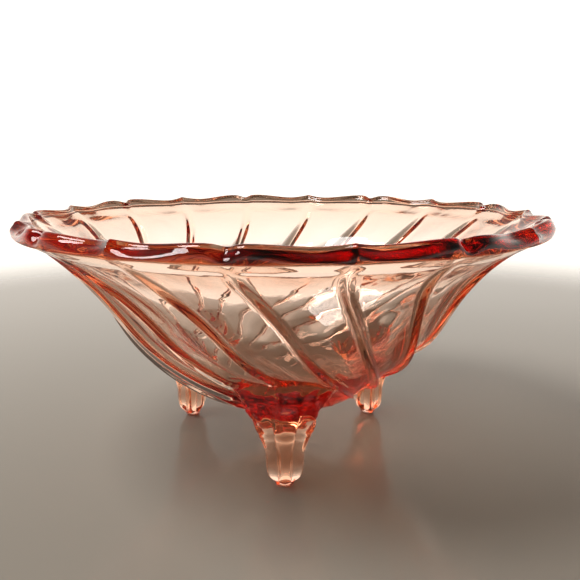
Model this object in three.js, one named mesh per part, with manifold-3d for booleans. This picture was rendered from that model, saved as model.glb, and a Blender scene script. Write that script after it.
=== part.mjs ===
// A pressed-glass candy dish: a flared bowl with swirled ribs, a scalloped rim bead and three fluted toes.
// Millimetres, +Z up. The origin lies on the table, on the bowl's axis, and one toe points towards -Y.
import * as THREE from 'three';
import { mergeVertices } from 'three/addons/utils/BufferGeometryUtils.js';
import Module from 'manifold-3d';

const wasm = await Module();
wasm.setup();

// ---- driving dimensions ----
const RIM_RADIUS = 71;            // the bead's lower, round edge
const DISH_HEIGHT = 66;           // table to the top of a scallop
const BEAD_HEIGHT = 4.1;
const FLOOR_THICKNESS = 4.4;
const LIP_THICKNESS = 3.0;
const UNDERSIDE_HEIGHT = 12;      // table to the flat middle of the underside
const UNDERSIDE_FLAT_RADIUS = 10;

const SCALLOP_COUNT = 9;
const SCALLOP_DIP = 0.9;
const SCALLOP_INSET = 2.4;
const NOTCH_INSET = 1.8;
const NOTCH_DIP = 0.8;
const RIDGE_RADIUS = 1.25;        // round top of the bead
const RIDGE_FOOT_HEIGHT = 63.2;   // where the ridge rises out of the lip's inner surface

const RIB_COUNT = 2 * SCALLOP_COUNT;
const RIB_DEPTH = 1.1;
const RIB_TOP_RADIUS = 65;        // the ribs fade into the plain lip here
const RIB_FADE = 3;
const SWIRL_TURN = 40;            // degrees that a rib turns between the lip and the toe circle
const SWIRL_START_RADIUS = 66;

const TOE_COUNT = 3;
const TOE_CIRCLE_RADIUS = 32.2;
const TOE_HEIGHT = 13.5;
const TOE_HALF_WIDTH = 5.1;
const TOE_HALF_DEPTH = 4.5;
const TOE_FLUTES = 6;
const TOE_FLUTE_DEPTH = 0.13;     // as a share of the toe's radius
const TOE_TIP_RADIUS = 1.3;       // the ground flat that stands on the table

const ROOT_OUTER_SIDE = 37.6;     // distance of a root's outer side from the bowl's axis
const ROOT_NECK = { halfWidth: 6.2, halfDepth: 5.6 };
const ROOT_TOP = { halfWidth: 14.5, halfDepth: 9 };

const WALL_BASE_JOINT = 27;       // heights of the flat faces where the sections of the dish meet
const WALL_RIM_JOINT = 60;

const FRONT = 270;                // direction of the first toe, in degrees from +X
const NOTCH_DIRECTION = FRONT - 10;

// ---- the bowl's outline, radius against height ----
const lowerBulge = new THREE.CubicBezierCurve(
  new THREE.Vector2(UNDERSIDE_FLAT_RADIUS, UNDERSIDE_HEIGHT), new THREE.Vector2(20, UNDERSIDE_HEIGHT),
  new THREE.Vector2(37, 21), new THREE.Vector2(47.4, 39.2));
const upperFlare = new THREE.CubicBezierCurve(
  new THREE.Vector2(47.4, 39.2), new THREE.Vector2(49, 42),
  new THREE.Vector2(56, 53.8), new THREE.Vector2(RIM_RADIUS - 1.6, DISH_HEIGHT - BEAD_HEIGHT));

const outline = new THREE.CurvePath();
outline.add(lowerBulge);
outline.add(upperFlare);

function outerPoint(along) {
  return outline.getPointAt(along);
}

function innerPoint(along) {
  const point = outline.getPointAt(along);
  const tangent = outline.getTangentAt(along);
  const thickness = THREE.MathUtils.lerp(FLOOR_THICKNESS, LIP_THICKNESS, along);
  return new THREE.Vector2(point.x - tangent.y * thickness, point.y + tangent.x * thickness);
}

// The place along the outline where a surface of the bowl reaches a height.
function alongAtHeight(surface, height) {
  let low = 0;
  let high = 1;
  for (let step = 0; step < 40; step += 1) {
    const middle = (low + high) / 2;
    if (surface(middle).y < height) low = middle;
    else high = middle;
  }
  return high;
}

function radiusAtHeight(surface, height) {
  return surface(alongAtHeight(surface, height)).x;
}

// ---- scallops and ribs ----
// Degrees from the nearest of a number of evenly spaced directions.
function offsetFrom(direction, count, degrees) {
  const spacing = 360 / count;
  return THREE.MathUtils.euclideanModulo(degrees - direction + spacing / 2, spacing) - spacing / 2;
}

// How far the bead's ridge has sunk at a direction: 0 on a crest, 1 in the hollow of a scallop. Each scallop
// runs from a notch over a crest and a long hollow to a small point half way to the next notch.
function hollowAt(degrees) {
  const offset = Math.abs(offsetFrom(NOTCH_DIRECTION, SCALLOP_COUNT, degrees));
  const point = 180 / SCALLOP_COUNT;
  const deepest = 0.73 * point;
  const crest = 0.18 * point;
  if (offset < deepest) return THREE.MathUtils.smoothstep(offset, crest, deepest);
  return 1 - 0.85 * ((offset - deepest) / (point - deepest)) ** 1.8;
}

function notchAt(degrees) {
  const offset = offsetFrom(NOTCH_DIRECTION, SCALLOP_COUNT, degrees);
  return Math.exp(-((offset / 1.6) ** 2));
}

// Depth below the rib crests: sharp crests with a broad round hollow between them, swirling as they descend.
function ribHollow(radius, degrees) {
  const inward = Math.max(0, SWIRL_START_RADIUS - radius) / (SWIRL_START_RADIUS - TOE_CIRCLE_RADIUS);
  const turn = SWIRL_TURN * inward ** 2;
  const halfSpacing = 180 / RIB_COUNT;
  const offset = Math.abs(offsetFrom(NOTCH_DIRECTION, RIB_COUNT, degrees - turn));
  const shape = 1 - (1 - offset / halfSpacing) ** 2.4;
  const top = THREE.MathUtils.smoothstep(RIB_TOP_RADIUS - radius, 0, RIB_FADE);
  const bottom = THREE.MathUtils.smoothstep(radius, 20, 32);
  return RIB_DEPTH * shape * top * bottom;
}

// ---- solids of revolution whose section changes with direction ----
// Each row is a function of direction that gives (radius, height); the rows run round a closed section. A row
// on the axis is a single point, and rows then run from one pole to the other.
function turnedBody(rows, directions) {
  const positions = [];
  const starts = [];
  const sizes = [];
  for (const row of rows) {
    const onAxis = row(0).x === 0;
    starts.push(positions.length / 3);
    sizes.push(onAxis ? 1 : directions);
    for (let k = 0; k < (onAxis ? 1 : directions); k += 1) {
      const degrees = 360 * k / directions;
      const { x: radius, y: height } = row(degrees);
      const angle = THREE.MathUtils.degToRad(degrees);
      positions.push(radius * Math.cos(angle), radius * Math.sin(angle), height);
    }
  }
  const index = [];
  const closed = sizes[0] > 1;
  for (let i = 0; i < rows.length - (closed ? 0 : 1); i += 1) {
    const j = (i + 1) % rows.length;
    for (let k = 0; k < directions; k += 1) {
      const next = (k + 1) % directions;
      const a = starts[i] + k % sizes[i];
      const b = starts[i] + next % sizes[i];
      const c = starts[j] + next % sizes[j];
      const d = starts[j] + k % sizes[j];
      if (sizes[i] > 1) index.push(a, b, c);
      if (sizes[j] > 1) index.push(a, c, d);
    }
  }
  const geometry = new THREE.BufferGeometry();
  geometry.setAttribute('position', new THREE.Float32BufferAttribute(positions, 3));
  geometry.setIndex(index);
  return geometry;
}

function plainRow(point) {
  return () => point;
}

function ribbedRow(point) {
  return (degrees) => new THREE.Vector2(point.x - ribHollow(point.x, degrees), point.y);
}

// Rows on one surface of the bowl between two places along it, ends included.
function surfaceRows(surface, from, to, count, makeRow) {
  return Array.from({ length: count }, (_, i) => {
    const along = THREE.MathUtils.lerp(from, to, i / (count - 1));
    return makeRow(surface(along));
  });
}

// The same between two heights, with both ends exactly on their heights.
function heightRows(surface, from, to, count, makeRow) {
  return Array.from({ length: count }, (_, i) => {
    const height = THREE.MathUtils.lerp(from, to, i / (count - 1));
    return makeRow(new THREE.Vector2(radiusAtHeight(surface, height), height));
  });
}

// ---- rim: the plain lip and its scalloped bead ----
function ridgePoint(arcDegrees) {
  return (degrees) => {
    const hollow = hollowAt(degrees);
    const notch = notchAt(degrees);
    const centre = RIM_RADIUS - 1.7 - SCALLOP_INSET * hollow - NOTCH_INSET * notch;
    const top = DISH_HEIGHT - SCALLOP_DIP * hollow - NOTCH_DIP * notch;
    const arc = THREE.MathUtils.degToRad(arcDegrees);
    return new THREE.Vector2(centre + RIDGE_RADIUS * Math.cos(arc), top - RIDGE_RADIUS * (1 - Math.sin(arc)));
  };
}

function rimGeometry() {
  const beadBase = DISH_HEIGHT - BEAD_HEIGHT;
  const outer = heightRows(outerPoint, WALL_RIM_JOINT, beadBase, 3, plainRow);
  const bead = [
    plainRow(new THREE.Vector2(RIM_RADIUS - 0.4, beadBase)),
    plainRow(new THREE.Vector2(RIM_RADIUS, beadBase + 0.5)),
    ...[10, 50, 90, 130, 170].map(ridgePoint),
  ];
  const inner = heightRows(innerPoint, RIDGE_FOOT_HEIGHT, WALL_RIM_JOINT, 3, plainRow);
  return turnedBody([...outer, ...bead, ...inner], 144);
}

// ---- wall: the ribbed part of the bowl ----
function wallGeometry() {
  const outer = heightRows(outerPoint, WALL_BASE_JOINT, WALL_RIM_JOINT, 9, ribbedRow);
  const inner = heightRows(innerPoint, WALL_RIM_JOINT, WALL_BASE_JOINT, 6, plainRow);
  return turnedBody([...outer, ...inner], 144);
}

// ---- booleans ----
function toSolid(geometry) {
  const bare = geometry.clone();
  bare.deleteAttribute('normal');
  bare.deleteAttribute('uv');
  const merged = mergeVertices(bare);
  return new wasm.Manifold(new wasm.Mesh({
    numProp: 3,
    vertProperties: merged.attributes.position.array,
    triVerts: new Uint32Array(merged.index.array),
  }));
}

function toGeometry(solid) {
  const mesh = solid.getMesh();
  const geometry = new THREE.BufferGeometry();
  geometry.setAttribute('position', new THREE.Float32BufferAttribute(mesh.vertProperties, 3));
  geometry.setIndex(Array.from(mesh.triVerts));
  return geometry;
}

// ---- base: the bowl's thick bottom with a flared root for each toe ----
// The inside of the base, from the joint down to the middle of the floor.
function wellRows() {
  const top = new THREE.Vector2(radiusAtHeight(innerPoint, WALL_BASE_JOINT), WALL_BASE_JOINT);
  const sides = surfaceRows(innerPoint, alongAtHeight(innerPoint, WALL_BASE_JOINT - 2), 0, 5, plainRow);
  return [plainRow(top), ...sides, plainRow(new THREE.Vector2(0, UNDERSIDE_HEIGHT + FLOOR_THICKNESS))];
}

function bottomGeometry() {
  const top = new THREE.Vector2(radiusAtHeight(outerPoint, WALL_BASE_JOINT), WALL_BASE_JOINT);
  const sides = surfaceRows(outerPoint, 0, alongAtHeight(outerPoint, WALL_BASE_JOINT - 2), 7, ribbedRow);
  const middle = plainRow(new THREE.Vector2(0, UNDERSIDE_HEIGHT));
  return turnedBody([middle, ...sides, ribbedRow(top), ...wellRows()], 72);
}

// The bowl's hollow below the joint as a solid, used to keep the roots out of it.
function wellGeometry() {
  const lid = plainRow(new THREE.Vector2(0, WALL_BASE_JOINT));
  return turnedBody([...wellRows().reverse(), lid], 72);
}

// A root is an oval that widens upwards while its outer side stays under the bowl's wall.
function rootGeometry() {
  const top = WALL_BASE_JOINT - 0.5;
  const sides = 28;
  const levels = [0, 0.25, 0.5, 0.75, 1];
  const sections = levels.map((level) => {
    const halfWidth = THREE.MathUtils.lerp(ROOT_NECK.halfWidth, ROOT_TOP.halfWidth, level);
    const halfDepth = THREE.MathUtils.lerp(ROOT_NECK.halfDepth, ROOT_TOP.halfDepth, level);
    const centre = ROOT_OUTER_SIDE - halfDepth;
    const height = THREE.MathUtils.lerp(TOE_HEIGHT, top, level);
    return { halfWidth, halfDepth, centre, height };
  });
  const positions = [];
  for (const { halfWidth, halfDepth, centre, height } of sections) {
    for (let k = 0; k < sides; k += 1) {
      const angle = 2 * Math.PI * k / sides;
      positions.push(centre + halfDepth * Math.cos(angle), halfWidth * Math.sin(angle), height);
    }
  }
  const bottomCentre = positions.length / 3;
  positions.push(sections[0].centre, 0, TOE_HEIGHT, sections.at(-1).centre, 0, top);
  const index = [];
  for (let k = 0; k < sides; k += 1) {
    const next = (k + 1) % sides;
    for (let i = 0; i < levels.length - 1; i += 1) {
      const low = i * sides;
      const high = low + sides;
      index.push(low + k, low + next, high + next, low + k, high + next, high + k);
    }
    const last = (levels.length - 1) * sides;
    index.push(bottomCentre, next, k, bottomCentre + 1, last + k, last + next);
  }
  const geometry = new THREE.BufferGeometry();
  geometry.setAttribute('position', new THREE.Float32BufferAttribute(positions, 3));
  geometry.setIndex(index);
  return geometry;
}

function toeDirection(k) {
  return THREE.MathUtils.degToRad(FRONT + 360 * k / TOE_COUNT);
}

function baseGeometry() {
  const well = toSolid(wellGeometry());
  let base = toSolid(bottomGeometry());
  for (let k = 0; k < TOE_COUNT; k += 1) {
    const root = toSolid(rootGeometry().rotateZ(toeDirection(k)));
    base = base.add(root.subtract(well));
  }
  return toGeometry(base);
}

// ---- toes: fluted columns that round off to a small knob with a ground flat ----
function toeGeometry() {
  const shape = [[0, 0.25], [0.5, 0.42], [1.2, 0.5], [1.7, 0.62], [3, 0.88], [5, 0.98], [8, 1], [11, 1.04],
    [TOE_HEIGHT, 1.14]];
  const rows = shape.map(([height, share]) => (degrees) => {
    const below = THREE.MathUtils.smoothstep(height, 0.5, 3.5);
    const above = THREE.MathUtils.smoothstep(TOE_HEIGHT - height, 0, 4);
    const fade = below * above;
    const lobe = Math.abs(Math.cos(TOE_FLUTES / 2 * THREE.MathUtils.degToRad(degrees)));
    const flute = 1 - TOE_FLUTE_DEPTH * fade * (1 - lobe);
    const radius = height === 0 ? TOE_TIP_RADIUS : TOE_HALF_WIDTH * share * flute;
    return new THREE.Vector2(radius, height);
  });
  const axisBottom = plainRow(new THREE.Vector2(0, 0));
  const axisTop = plainRow(new THREE.Vector2(0, TOE_HEIGHT));
  return turnedBody([axisBottom, ...rows, axisTop], 36).scale(TOE_HALF_DEPTH / TOE_HALF_WIDTH, 1, 1);
}

// ---- the dish ----
const pinkGlass = { color: 0xf0b9a4, roughness: 0.03, metalness: 0, transparent: true, opacity: 0.45 };
const deepGlass = { color: 0x8c2a18, roughness: 0.03, metalness: 0, transparent: true, opacity: 0.8 };
const clearGlass = { color: 0xf7d9c6, roughness: 0.03, metalness: 0, transparent: true, opacity: 0.45 };

const dish = new THREE.Group();

function addPart(name, geometry, look) {
  const mesh = new THREE.Mesh(geometry, new THREE.MeshStandardMaterial(look));
  mesh.name = name;
  dish.add(mesh);
  return mesh;
}

addPart('rim', rimGeometry(), deepGlass);
addPart('wall', wallGeometry(), pinkGlass);
addPart('base', baseGeometry(), deepGlass);
['toe_front', 'toe_right', 'toe_left'].forEach((name, k) => {
  const toe = addPart(name, toeGeometry(), clearGlass);
  const direction = toeDirection(k);
  toe.position.set(TOE_CIRCLE_RADIUS * Math.cos(direction), TOE_CIRCLE_RADIUS * Math.sin(direction), 0);
  toe.rotation.z = direction;
});

export default dish;
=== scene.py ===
# A footed candy dish of pink pressed glass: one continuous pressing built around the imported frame.
import math

import bmesh
import bpy
from mathutils import Matrix, Vector, noise
from mathutils.geometry import interpolate_bezier


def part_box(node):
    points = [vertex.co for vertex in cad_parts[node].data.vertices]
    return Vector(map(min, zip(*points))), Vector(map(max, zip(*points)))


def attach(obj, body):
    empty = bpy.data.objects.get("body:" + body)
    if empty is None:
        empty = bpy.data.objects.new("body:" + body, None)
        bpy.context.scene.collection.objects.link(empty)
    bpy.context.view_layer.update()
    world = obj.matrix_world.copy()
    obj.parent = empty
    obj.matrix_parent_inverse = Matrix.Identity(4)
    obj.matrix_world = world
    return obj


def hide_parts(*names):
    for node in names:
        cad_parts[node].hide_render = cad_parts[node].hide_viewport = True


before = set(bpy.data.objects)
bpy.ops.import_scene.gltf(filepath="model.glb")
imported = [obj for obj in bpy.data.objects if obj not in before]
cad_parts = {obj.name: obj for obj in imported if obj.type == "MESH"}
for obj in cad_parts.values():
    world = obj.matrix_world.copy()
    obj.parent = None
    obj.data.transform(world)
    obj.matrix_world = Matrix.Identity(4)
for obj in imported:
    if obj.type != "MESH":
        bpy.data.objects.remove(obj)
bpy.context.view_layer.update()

mm = 0.001


def smoothStep(value, low, high):
    t = min(1.0, max(0.0, (value - low) / (high - low)))
    return t * t * (3 - 2 * t)


def lerp(low, high, t):
    return low + (high - low) * t


def srgb(hexText):
    # '#rrggbb' as it looks on a screen, turned to linear light
    parts = [int(hexText[i:i + 2], 16) / 255 for i in (1, 3, 5)]
    return tuple(c / 12.92 if c <= 0.04045 else ((c + 0.055) / 1.055) ** 2.4 for c in parts)


def addNode(tree, kind, settings=None, links=None):
    # one node with its settings; links says which input takes which other socket
    node = tree.nodes.new(kind)
    for key, value in (settings or {}).items():
        if key in node.inputs:
            node.inputs[key].default_value = value
        else:
            setattr(node, key, value)
    for key, socket in (links or {}).items():
        tree.links.new(socket, node.inputs[key])
    return node


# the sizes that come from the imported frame
rimLow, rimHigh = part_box("rim")
rimRadius = (rimHigh.x - rimLow.x) / 2 / mm
dishHeight = rimHigh.z / mm
toeBoxes = [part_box(name) for name in ("toe_front", "toe_right", "toe_left")]
toeCentre = (toeBoxes[0][0] + toeBoxes[0][1]) / 2 / mm
toeCircle = -toeCentre.y
front = 270                         # direction of the front toe, in degrees
print("frame: rim radius %.1f mm, height %.1f mm, toe circle %.1f mm" % (rimRadius, dishHeight, toeCircle))

dish = {
    "steps": 396,                   # round the axis, 22 to each rib
    "crowding": 2.0,                # draws the steps towards the rib crests
    "curvePoints": 400,             # on each curve of the outline, and on the evenly spaced fine line
    "finePoints": 481,
    "underside": [(10, 12), (20, 12), (37, 21), (47.4, 39.2)],
    "flare": [(47.4, 39.2), (49, 42), (56, 53.8), (69.4, 61.9)],
    "crowdedRows": (64.5, 68),      # radii between which the rows lie closest, and where they thin out
    "sparseRows": 18,
    "poleRadii": (2, 4, 6, 8),      # rings in the plain middle, outside and inside
    "innerPoleRadii": (7, 4),
    "floorThickness": 4.4,
    "lipThickness": 3.0,
    "beadHeight": 4.1,
    "beadFoot": 61.4,               # where the bead rises out of the inner surface
    "ridgeRadius": 1.25,
    "ridgeInset": 1.7,              # from the bead's outer edge to the ridge's middle
    "beadEdge": 0.7,                # radius of the bead's lower outer edge
    "beadBulge": 0.45,              # swell of the bead's outer face
    "scallops": 9,
    "scallopInset": 2.4,
    "scallopDip": 0.9,
    "scallopCrest": 0.18,           # shares of the way from a notch to the point beside it
    "scallopDeepest": 0.73,
    "scallopPoint": 0.85,           # how high the point stands again
    "scallopCurve": 1.8,            # how sharply the point rises
    "notchTurn": -10,               # the nearest notch, in degrees from the front toe
    "notchInset": 1.8,
    "notchDip": 0.8,
    "notchWidth": 1.6,              # in degrees
    "notchCrease": 0.27,            # how far a notch runs on into the bead's outer face
    "ribs": 18,
    "ribDepth": 1.4,                # height of a rib over the panels beside it
    "ribStep": 0.22,                # depth of the panels' crisp upper edge
    "ribCrest": 0.0,                # half width of a crest and of a whole rib, in degrees
    "ribFoot": 2.1,
    "panelDepth": 0.5,              # how much the panel between two ribs is dished
    "ribTop": 67.2,                 # radius of the panels' upper edge
    # how far that edge and the ribs take to sink
    "ribEdge": 3.2,
    "ribFade": 14,
    "ribStart": (20, 32),           # radii over which the ribs rise out of the plain middle
    "ripple": 0.12,                 # unevenness of the pressed surface
    "rippleSpan": 11,
    "rippleLean": (0.6, 0.8),       # inward and upward shares of the inside's unevenness
    "swirl": 40,                    # degrees from the lip to the toe circle
    "swirlStart": 66,
}
notchDirection = front + dish["notchTurn"]


def sampled(curves, count):
    # a run of Bezier curves as evenly spaced points with their directions
    line = []
    for curve in curves:
        points = interpolate_bezier(*[Vector(p) for p in curve], dish["curvePoints"])
        line += points[1:] if line else points
    lengths = [0.0]
    for a, b in zip(line, line[1:]):
        lengths.append(lengths[-1] + (b - a).length)
    result, at = [], 0
    for i in range(count):
        wanted = lengths[-1] * i / (count - 1)
        while at < len(line) - 2 and lengths[at + 1] < wanted:
            at += 1
        share = (wanted - lengths[at]) / (lengths[at + 1] - lengths[at])
        result.append((line[at].lerp(line[at + 1], share), (line[at + 1] - line[at]).normalized()))
    return result


fineLine = sampled([dish["underside"], dish["flare"]], dish["finePoints"])
# rows lie closer where the panels' upper edge needs them
outline, nextRow = [], 0
for i, (point, along) in enumerate(fineLine):
    if i >= nextRow or i == len(fineLine) - 1:
        outline.append((point, along))
        crowded = dish["crowdedRows"][0] < point.x < dish["crowdedRows"][1]
        nextRow = i + (2 if crowded else 4 if point.x > dish["sparseRows"] else 8)


def offsetFrom(direction, count, degrees):
    spacing = 360 / count
    return (degrees - direction + spacing / 2) % spacing - spacing / 2


def hollowAt(degrees):
    # 0 on a scallop's crest, 1 in its hollow; a small point stands half way between two notches
    offset = abs(offsetFrom(notchDirection, dish["scallops"], degrees))
    point = 180 / dish["scallops"]
    crest, deepest = dish["scallopCrest"] * point, dish["scallopDeepest"] * point
    if offset < deepest:
        return smoothStep(offset, crest, deepest)
    return 1 - dish["scallopPoint"] * ((offset - deepest) / (point - deepest)) ** dish["scallopCurve"]


def notchAt(degrees):
    return math.exp(-(offsetFrom(notchDirection, dish["scallops"], degrees) / dish["notchWidth"]) ** 2)


def swirlAt(radius):
    inward = max(0, dish["swirlStart"] - radius) / (dish["swirlStart"] - toeCircle)
    return dish["swirl"] * inward ** 2


def ribHollow(radius, degrees):
    half = 180 / dish["ribs"]
    offset = abs(offsetFrom(notchDirection, dish["ribs"], degrees - swirlAt(radius)))
    rib = smoothStep(offset, dish["ribCrest"], dish["ribFoot"])
    panel = smoothStep(offset, 0, half)
    below = dish["ribTop"] - radius
    edge, fade = smoothStep(below, 0, dish["ribEdge"]), smoothStep(below, 0, dish["ribFade"])
    depth = rib * lerp(dish["ribStep"] * edge, dish["ribDepth"], fade) + dish["panelDepth"] * panel * fade
    return depth * smoothStep(radius, *dish["ribStart"])


def rippleAt(place, seed):
    # the slow unevenness that a worn mould leaves
    span = dish["rippleSpan"]
    return dish["ripple"] * noise.noise(Vector((place.x / span + seed, place.y / span, place.z / span)))


def beadRows(degrees):
    # the bead's section in one direction, from its lower outer edge over the ridge to its inner foot
    hollow, notch = hollowAt(degrees), notchAt(degrees)
    base = dishHeight - dish["beadHeight"]
    ridge = dish["ridgeRadius"]
    centre = rimRadius - dish["ridgeInset"] - dish["scallopInset"] * hollow - dish["notchInset"] * notch
    top = dishHeight - dish["scallopDip"] * hollow - dish["notchDip"] * notch
    rows = []
    edge = dish["beadEdge"]
    for angle in (-90, -60, -30, 0):
        a = math.radians(angle)
        rows.append(Vector((rimRadius - edge + edge * math.cos(a), base + edge + edge * math.sin(a))))
    overRidge = []
    for angle in range(15, 176, 16):
        a = math.radians(angle)
        overRidge.append(Vector((centre + ridge * math.cos(a), top - ridge + ridge * math.sin(a))))
    low = rows[-1].copy()
    for t in (0.25, 0.5, 0.75):
        point = low.lerp(overRidge[0], t)
        point.x += dish["beadBulge"] * math.sin(math.pi * t)
        rows.append(point)
    for i, point in enumerate(rows):
        point.x -= dish["notchCrease"] * notch * smoothStep(i, 0, 6) * (1 - smoothStep(i, 5, 8))
    return rows + overRidge


def innerRows(count):
    # the smooth inner surface, from the bead's foot down to the floor
    rows = []
    for i in range(len(outline) - 1, -1, -1):
        point, along = outline[i]
        thickness = lerp(dish["floorThickness"], dish["lipThickness"], smoothStep(point.x, 10, rimRadius))
        inner = point + Vector((-along.y, along.x)) * thickness
        if inner.y <= dish["beadFoot"] and (i % count == 0 or i < 2):
            rows.append(inner)
    return rows


outerPlain = [point for point, along in outline]
poleRows = [Vector((r, dish["underside"][0][1])) for r in dish["poleRadii"]]
innerPlain = innerRows(3)
floorLevel = innerPlain[-1].y
innerPole = [Vector((r, floorLevel)) for r in dish["innerPoleRadii"]]


def sectionAt(degrees):
    rows = [Vector((0, poleRows[0].y))] + poleRows + outerPlain
    bead = beadRows(degrees)
    foot = innerPlain[0]
    last = bead[-1]
    slope = [last.lerp(foot, t) for t in (0.2, 0.4, 0.6, 0.8)]
    return rows + bead + slope + innerPlain + innerPole + [Vector((0, floorLevel))]


outerCount = 1 + len(poleRows) + len(outerPlain)


def outlineAt(radius):
    # height and outward normal of the plain outer surface at a radius
    if radius <= outerPlain[0].x:
        return outerPlain[0].y, Vector((0, -1))
    low, high = 0, len(outline) - 1
    while high - low > 1:
        middle = (low + high) // 2
        if outline[middle][0].x < radius:
            low = middle
        else:
            high = middle
    a, b = outline[low], outline[high]
    t = (radius - a[0].x) / (b[0].x - a[0].x)
    along = a[1].lerp(b[1], t).normalized()
    return lerp(a[0].y, b[0].y, t), Vector((along.y, -along.x))


toe = {
    "rootWidth": 13.0,              # half width and half depth of the root where it leaves the bowl
    "rootDepth": 7.3,
    "rootShift": -1.2,              # the root's middle lies nearer the bowl's axis than the toe's
    "rootRings": 22,
    "rootCurve": 1.35,              # above 1 the root flares out towards the bowl
    "holeReach": 1.04,              # the hole, its edge, its evened surround and the joint, in root widths
    "edgeReach": 1.3,
    "evenReach": 1.35,
    "evenPasses": 8,
    "jointReach": 1.12,
    "jointRings": 4,
    "jointPasses": 6,
    "neckWidth": 7.0,
    "neckDepth": 5.2,
    "ringDepth": 0.12,              # low rings pressed round the root
    "ringPitch": 1.7,
    "wrinkle": 0.8,                 # chill wrinkles where the thick root cooled in the mould
    "wrinkleSpan": 2.6,
    "reliefRadius": 8,              # root radius at which rings and wrinkles have those depths
    # shares of the root's way down over which the relief rises, the wrinkles fade and the flutes begin
    "reliefRise": (0.05, 0.3),
    "wrinkleFade": (0.7, 1),
    "fluteRise": (0.1, 1),
    "neckHeight": 13.7,
    "flutes": 6,
    "fluteDepth": 0.3,
    "fluteEnd": (0.5, 3.5),         # heights over which the flutes run out above the tip's knob
    "bossTurn": 54,                 # low round bosses, in degrees to both sides of the toe's outer face
    "bossHeight": 16.0,
    "bossRadius": 1.4,
    "bossRise": 0.45,
    # height, half width and half depth down the toe
    "profile": [(13.1, 6.7, 4.78), (12.2, 6.3, 4.68), (11.3, 5.9, 4.62), (10.3, 5.5, 4.58),
                (9.2, 5.22, 4.54), (8, 5.1, 4.5), (6.8, 5.1, 4.5), (5.6, 5.05, 4.46), (4.6, 4.92, 4.34),
                (3.8, 4.72, 4.16), (3.1, 4.44, 3.9), (2.5, 4.03, 3.55), (2.0, 3.52, 3.1),
                (1.6, 3.06, 2.7), (1.25, 2.7, 2.38), (0.9, 2.47, 2.18), (0.55, 2.24, 2.0),
                (0.25, 1.9, 1.7), (0.06, 1.45, 1.3), (0, 1.0, 0.9)],
}


def toeSpace(x, y, k):
    # a place in a toe's own axes: across, then outwards from the toe's middle
    a = math.radians(front + 120 * k)
    return -x * math.sin(a) + y * math.cos(a), x * math.cos(a) + y * math.sin(a) - toeCircle


def fromToe(across, outwards, height, k):
    a = math.radians(front + 120 * k)
    x, y = outwards + toeCircle, across
    return Vector((x * math.cos(a) - y * math.sin(a), x * math.sin(a) + y * math.cos(a), height))


def lobeAt(turn):
    # 1 on the crest of a flute, 0 in the groove beside it
    return abs(math.cos(toe["flutes"] / 2 * turn))


def bossAt(turn, height):
    # how far a boss stands out of the neck here
    aside = (abs(math.remainder(turn, 2 * math.pi)) - math.radians(toe["bossTurn"])) * toe["neckWidth"]
    away = math.hypot(aside, height - toe["bossHeight"]) / toe["bossRadius"]
    return toe["bossRise"] * math.sqrt(max(0, 1 - away ** 2))


def rootReach(x, y, k):
    # distance from a root's middle, 1 on its edge
    across, outwards = toeSpace(x, y, k)
    return math.hypot(across / toe["rootWidth"], (outwards - toe["rootShift"]) / toe["rootDepth"])


def placeOuter(x, y):
    # a plan position on the outer surface, with its ribs
    radius = math.hypot(x, y)
    height, normal = outlineAt(radius)
    if radius < 1e-6:
        return Vector((0, 0, height))
    depth = ribHollow(radius, math.degrees(math.atan2(y, x)))
    depth += rippleAt(Vector((x, y, height)), 40) * smoothStep(dish["ribTop"] - radius, 0, 4)
    r = radius - normal.x * depth
    return Vector((x * r / radius, y * r / radius, height - normal.y * depth))


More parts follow.
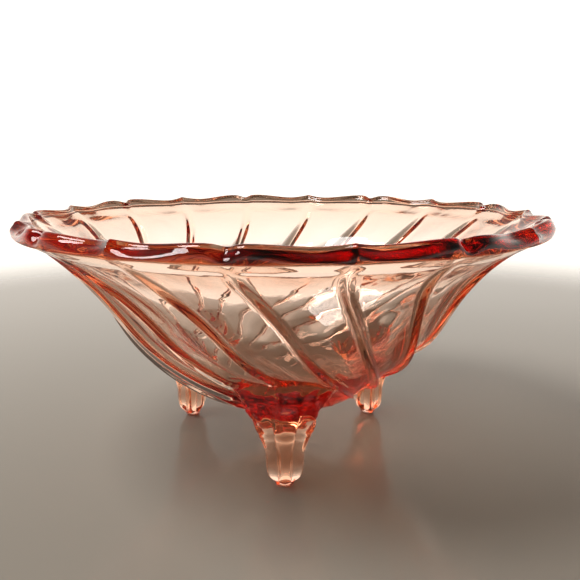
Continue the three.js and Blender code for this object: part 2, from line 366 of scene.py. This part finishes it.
def buildDish():
    bm = bmesh.new()
    rowOf = bm.verts.layers.int.new("row")
    section = sectionAt(0)
    chain = [bm.verts.new((p.x, 0, p.y)) for p in section]
    for i, v in enumerate(chain):
        v[rowOf] = i
    edges = [bm.edges.new(pair) for pair in zip(chain, chain[1:])]
    bmesh.ops.spin(bm, geom=chain + edges, cent=(0, 0, 0), axis=(0, 0, 1), dvec=(0, 0, 0),
                   angle=2 * math.pi, steps=dish["steps"], use_merge=True, use_duplicate=False)
    bmesh.ops.remove_doubles(bm, verts=bm.verts, dist=1e-4)

    # crowd the steps towards the crests, lay the scallops in and twist the outside with its ribs
    spacing = 360 / dish["ribs"]
    sections = {}
    for v in bm.verts:
        row = v[rowOf]
        if math.hypot(v.co.x, v.co.y) < 1e-3:
            continue
        step = round(math.degrees(math.atan2(v.co.y, v.co.x)) / 360 * dish["steps"]) % dish["steps"]
        if step not in sections:
            offset = offsetFrom(notchDirection, dish["ribs"], 360 * step / dish["steps"])
            crowded = math.copysign(spacing / 2 * abs(2 * offset / spacing) ** dish["crowding"], offset)
            degrees = 360 * step / dish["steps"] - offset + crowded
            sections[step] = (degrees, sectionAt(degrees))
        degrees, rows = sections[step]
        point = rows[row]
        turned = math.radians(degrees + (swirlAt(point.x) if row < outerCount else 0))
        v.co = Vector((point.x * math.cos(turned), point.x * math.sin(turned), point.y))
        if row >= len(rows) - len(innerPlain) - len(innerPole):
            lift = rippleAt(v.co, 0) * smoothStep(dish["beadFoot"] - point.y, 0, 4)
            lift *= smoothStep(point.x, 9, 16)
            inward, upward = dish["rippleLean"]
            v.co += Vector((-math.cos(turned) * inward, -math.sin(turned) * inward, upward)) * lift

    # open an oval hole over each toe and even out its edge
    turnOf = bm.verts.layers.float.new("turn")
    rings = []
    for k in range(3):
        inside = [v for v in bm.verts if v[rowOf] < outerCount
                  and rootReach(v.co.x, v.co.y, k) < toe["holeReach"]]
        bmesh.ops.delete(bm, geom=inside, context="VERTS")
        near = [e for e in bm.edges if e.is_boundary
                and rootReach(e.verts[0].co.x, e.verts[0].co.y, k) < toe["edgeReach"]]
        ring, used = [near[0].verts[0]], set()
        while True:
            step = next((e for e in ring[-1].link_edges if e.is_boundary and e not in used), None)
            if step is None:
                break
            used.add(step)
            ring.append(step.other_vert(ring[-1]))
        ring = ring[:-1]
        count = len(ring)
        turns = []
        for v in ring:
            across, outwards = toeSpace(v.co.x, v.co.y, k)
            outwards -= toe["rootShift"]
            turns.append(math.atan2(across / toe["rootWidth"], outwards / toe["rootDepth"]))
        way = 1 if math.sin(turns[count // 8] - turns[0]) > 0 else -1
        drift = [(turns[i] - turns[0] - way * 2 * math.pi * i / count + math.pi) % (2 * math.pi) - math.pi
                 for i in range(count)]
        for i, v in enumerate(ring):
            turn = turns[0] + sum(drift) / count + way * 2 * math.pi * i / count
            v[turnOf] = turn
            across, outwards = toe["rootWidth"] * math.sin(turn), toe["rootDepth"] * math.cos(turn)
            place = fromToe(across, outwards + toe["rootShift"], 0, k)
            v.co.x, v.co.y = place.x, place.y
        held = set(ring)
        loose = [v for v in bm.verts if v[rowOf] < outerCount and v not in held
                 and rootReach(v.co.x, v.co.y, k) < toe["evenReach"]]
        for i in range(toe["evenPasses"]):
            bmesh.ops.smooth_vert(bm, verts=loose, factor=0.5, use_axis_x=True, use_axis_y=True)
        rings.append(ring)

    for v in bm.verts:
        if v[rowOf] < outerCount:
            v.co = placeOuter(v.co.x, v.co.y)

    # draw a root and a toe down from each hole
    for k, ring in enumerate(rings):
        held = set(ring)
        loop = [e for e in bm.edges if e.is_boundary and e.verts[0] in held and e.verts[1] in held]
        edgeOf = {round(v[turnOf], 6): v.co.copy() for v in ring}
        blend = list(ring)

        def drawRing(loop, place):
            made = bmesh.ops.extrude_edge_only(bm, edges=loop)["geom"]
            verts = [g for g in made if isinstance(g, bmesh.types.BMVert)]
            for v in verts:
                v[rowOf] = -1
                v.co = place(v)
            return verts, [g for g in made if isinstance(g, bmesh.types.BMEdge) and g.is_boundary]

        for i in range(1, toe["rootRings"] + 1):
            t = i / toe["rootRings"]

            def onRoot(v):
                turn = v[turnOf]
                start = edgeOf[round(turn, 6)]
                end = fromToe(toe["neckWidth"] * math.sin(turn), toe["neckDepth"] * math.cos(turn),
                              toe["neckHeight"], k)
                place = start.lerp(end, t)
                middle = fromToe(0, 0, 0, k)
                place.z = lerp(start.z, end.z, t ** toe["rootCurve"])
                flute = 1 - toe["fluteDepth"] * smoothStep(t, *toe["fluteRise"]) * (1 - lobeAt(turn))
                shown = smoothStep(t, *toe["reliefRise"])
                wrinkle = toe["wrinkle"] * noise.noise(place / toe["wrinkleSpan"])
                relief = toe["ringDepth"] * math.cos(2 * math.pi * place.z / toe["ringPitch"])
                relief += wrinkle * (1 - smoothStep(t, *toe["wrinkleFade"]))
                flute += relief * shown / toe["reliefRadius"] + bossAt(turn, place.z) / toe["neckWidth"]
                place.x, place.y = lerp(middle.x, place.x, flute), lerp(middle.y, place.y, flute)
                return place

            verts, loop = drawRing(loop, onRoot)
            if i <= toe["jointRings"]:
                blend += verts
        for height, width, depth in toe["profile"]:
            shown = smoothStep(height, *toe["fluteEnd"])

            def onToe(v):
                turn = v[turnOf]
                size = 1 - toe["fluteDepth"] * shown * (1 - lobeAt(turn))
                size += bossAt(turn, height) / toe["neckWidth"]
                return fromToe(size * width * math.sin(turn), size * depth * math.cos(turn), height, k)

            verts, loop = drawRing(loop, onToe)
        bmesh.ops.edgeloop_fill(bm, edges=loop)
        around = [v for v in bm.verts if v[rowOf] in range(outerCount) and v not in held
                  and rootReach(v.co.x, v.co.y, k) < toe["jointReach"]]
        for i in range(toe["jointPasses"]):
            bmesh.ops.smooth_vert(bm, verts=blend + around, factor=0.5, use_axis_x=True, use_axis_y=True,
                                  use_axis_z=True)
    bmesh.ops.recalc_face_normals(bm, faces=bm.faces)
    bmesh.ops.transform(bm, matrix=Matrix.Scale(mm, 4), verts=bm.verts)
    for face in bm.faces:
        face.smooth = True
    print("dish: %d faces, %d open edges" % (len(bm.faces), sum(not e.is_manifold for e in bm.edges)))
    mesh = bpy.data.meshes.new("glassDish")
    bm.to_mesh(mesh)
    bm.free()
    piece = bpy.data.objects.new("glassDish", mesh)
    bpy.context.scene.collection.objects.link(piece)
    return piece


# Soda-lime glass, coloured pink in the batch, pressed in an iron mould and fire-polished: pale where it is
# thin, deep orange red where the eye looks along it, in the bead and the roots.
glass = {
    "ior": 1.52,
    "absorption": "#f9aa2c",        # the colour that the batch lets through
    "density": 126.0,               # how strongly it takes the rest, per metre
    "polish": 0.012,                # roughness of the fire-polished skin and of a worn toe tip
    "worn": 0.32,
    "wornHeights": (0.2, 1.3),      # over these heights the toes go from rubbed to clear
    "waveSpan": 7.0,                # the slow waves of the mould's face
    "waveHeight": 0.05,
    "chillSpan": 0.9,               # fine chill marks where hot glass met cold iron
    "chillHeight": 0.0025,
}


def pinkPressedGlass():
    material = bpy.data.materials.new("pinkPressedGlass")
    material.use_nodes = True
    tree = material.node_tree
    tree.nodes.clear()
    place = addNode(tree, "ShaderNodeTexCoord")
    parts = addNode(tree, "ShaderNodeSeparateXYZ", links={"Vector": place.outputs["Object"]})
    # the skin is fire-polished and clear, and only the toe tips are rubbed matt
    rough = addNode(tree, "ShaderNodeMapRange", {
        "interpolation_type": "SMOOTHSTEP",
        "From Min": glass["wornHeights"][0] * mm, "From Max": glass["wornHeights"][1] * mm,
        "To Min": glass["worn"], "To Max": glass["polish"]}, {"Value": parts.outputs["Z"]})
    # slow waves bend what shows through a panel, chill marks break up its highlights
    waves = addNode(tree, "ShaderNodeTexNoise", {
        "Scale": 1 / (glass["waveSpan"] * mm), "Detail": 1.0, "Roughness": 0.4, "Distortion": 0.8},
        {"Vector": place.outputs["Object"]})
    chill = addNode(tree, "ShaderNodeTexNoise", {
        "Scale": 1 / (glass["chillSpan"] * mm), "Detail": 2.0, "Roughness": 0.5},
        {"Vector": place.outputs["Object"]})
    wavy = addNode(tree, "ShaderNodeBump", {"Distance": glass["waveHeight"] * mm},
                   {"Height": waves.outputs[0]})
    skin = addNode(tree, "ShaderNodeBump", {"Distance": glass["chillHeight"] * mm},
                   {"Height": chill.outputs[0], "Normal": wavy.outputs[0]})
    shader = addNode(tree, "ShaderNodeBsdfPrincipled", {
        "Base Color": (1, 1, 1, 1), "IOR": glass["ior"], "Transmission Weight": 1.0},
        {"Roughness": rough.outputs[0], "Normal": skin.outputs[0]})
    volume = addNode(tree, "ShaderNodeVolumeAbsorption", {
        "Color": (*srgb(glass["absorption"]), 1), "Density": glass["density"]})
    addNode(tree, "ShaderNodeOutputMaterial",
            links={"Surface": shader.outputs[0], "Volume": volume.outputs[0]})
    return material


glassDish = buildDish()
glassDish.data.materials.append(pinkPressedGlass())
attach(glassDish, "root")
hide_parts("rim", "wall", "base", "toe_front", "toe_right", "toe_left")
print("glass: absorption %s at %.0f per metre" % (glass["absorption"], glass["density"]))

# a pale floor that runs into a bright wall, with one soft lamp above
studio = {
    "floorRadius": 0.42,
    "floorFade": 0.26,              # radius at which the floor starts to clear
    "floorColour": "#9c9387",
    "floorRoughness": 0.16,
    "floorShine": 0.3,
    "wallColour": "#fff8ee",
    "wallStrength": (0.75, 1.36),   # at the sides and in front, and behind the dish
    "wallTurn": (0.0, 0.75),        # how far back the wall starts and ends to brighten
    # height on the wall's dome and brightness there
    "sky": [(0.0, 1.0), (0.2, 1.0), (0.5, 0.18), (1.0, 0.08)],
    "keyPlace": (-0.5, -0.1, 0.8),
    "keyAim": (0, 0, 0.03),
    "keySize": 0.5,
    "keyPower": 7.0,
}


def buildFloor():
    bm = bmesh.new()
    bmesh.ops.create_circle(bm, cap_ends=True, segments=128, radius=studio["floorRadius"])
    mesh = bpy.data.meshes.new("floor")
    bm.to_mesh(mesh)
    bm.free()
    floor = bpy.data.objects.new("floor", mesh)
    bpy.context.scene.collection.objects.link(floor)
    material = bpy.data.materials.new("paleFloor")
    material.use_nodes = True
    tree = material.node_tree
    tree.nodes.clear()
    shader = addNode(tree, "ShaderNodeBsdfPrincipled", {
        "Base Color": (*srgb(studio["floorColour"]), 1), "Roughness": studio["floorRoughness"],
        "Specular IOR Level": studio["floorShine"]})
    # the far floor melts into the bright backdrop
    place = addNode(tree, "ShaderNodeTexCoord")
    reach = addNode(tree, "ShaderNodeVectorMath", {"operation": "LENGTH"}, {0: place.outputs["Object"]})
    fade = addNode(tree, "ShaderNodeMapRange", {
        "interpolation_type": "SMOOTHSTEP",
        "From Min": studio["floorFade"], "From Max": studio["floorRadius"]},
        {"Value": reach.outputs["Value"]})
    clear = addNode(tree, "ShaderNodeBsdfTransparent")
    mix = addNode(tree, "ShaderNodeMixShader",
                  links={0: fade.outputs[0], 1: shader.outputs[0], 2: clear.outputs[0]})
    addNode(tree, "ShaderNodeOutputMaterial", links={"Surface": mix.outputs[0]})
    floor.data.materials.append(material)


def lightStudio():
    world = bpy.data.worlds.new("studioWorld")
    bpy.context.scene.world = world
    world.use_nodes = True
    tree = world.node_tree
    tree.nodes.clear()
    place = addNode(tree, "ShaderNodeTexCoord")
    parts = addNode(tree, "ShaderNodeSeparateXYZ", links={"Vector": place.outputs["Generated"]})
    ramp = addNode(tree, "ShaderNodeValToRGB", links={"Fac": parts.outputs["Z"]})
    for i, (position, level) in enumerate(studio["sky"]):
        stop = ramp.color_ramp.elements[i] if i < 2 else ramp.color_ramp.elements.new(position)
        stop.position = position
        stop.color = (*[c * level for c in srgb(studio["wallColour"])], 1)
    strength = addNode(tree, "ShaderNodeMapRange", {
        "interpolation_type": "SMOOTHSTEP",
        "From Min": studio["wallTurn"][0], "From Max": studio["wallTurn"][1],
        "To Min": studio["wallStrength"][0], "To Max": studio["wallStrength"][1]},
        {"Value": parts.outputs["Y"]})
    sky = addNode(tree, "ShaderNodeBackground",
                  links={"Color": ramp.outputs["Color"], "Strength": strength.outputs[0]})
    addNode(tree, "ShaderNodeOutputWorld", links={"Surface": sky.outputs[0]})
    light = bpy.data.lights.new("keyLight", "AREA")
    light.shape, light.size, light.energy = "DISK", studio["keySize"], studio["keyPower"]
    lamp = bpy.data.objects.new("keyLight", light)
    lamp.location = studio["keyPlace"]
    lamp.rotation_euler = (Vector(studio["keyAim"]) - lamp.location).to_track_quat("-Z", "Y").to_euler()
    bpy.context.scene.collection.objects.link(lamp)


# millimetres and degrees, from the dish's axis; the shift is a share of the sensor's width
camera = {
    "distance": 192.8, "height": 82.7, "sideways": -2.35, "turn": -0.74,
    "pitch": 11.54, "roll": -0.227, "lens": 42.84, "shift": 0.0293,
}


def placeCamera():
    data = bpy.data.cameras.new("camera")
    data.sensor_width, data.lens, data.shift_x = 36, camera["lens"], camera["shift"]
    data.clip_start = 0.005
    eye = bpy.data.objects.new("camera", data)
    turn = Matrix.Rotation(math.radians(camera["turn"]), 4, "Z")
    place = Matrix.Translation(Vector((camera["sideways"], -camera["distance"], camera["height"])) * mm)
    tilt = Matrix.Rotation(math.radians(90 - camera["pitch"]), 4, "X")
    roll = Matrix.Rotation(math.radians(camera["roll"]), 4, "Z")
    eye.matrix_world = turn @ place @ tilt @ roll
    bpy.context.scene.collection.objects.link(eye)
    bpy.context.scene.camera = eye


buildFloor()
lightStudio()
placeCamera()
print("studio: floor, wall, lamp and camera are in place")
bpy.context.scene.view_settings.view_transform = "Standard"
# light inside a thick bead bounces many times before it leaves
bpy.context.scene.cycles.max_bounces = 40
bpy.context.scene.cycles.transmission_bounces = 40
bpy.context.scene.cycles.glossy_bounces = 12
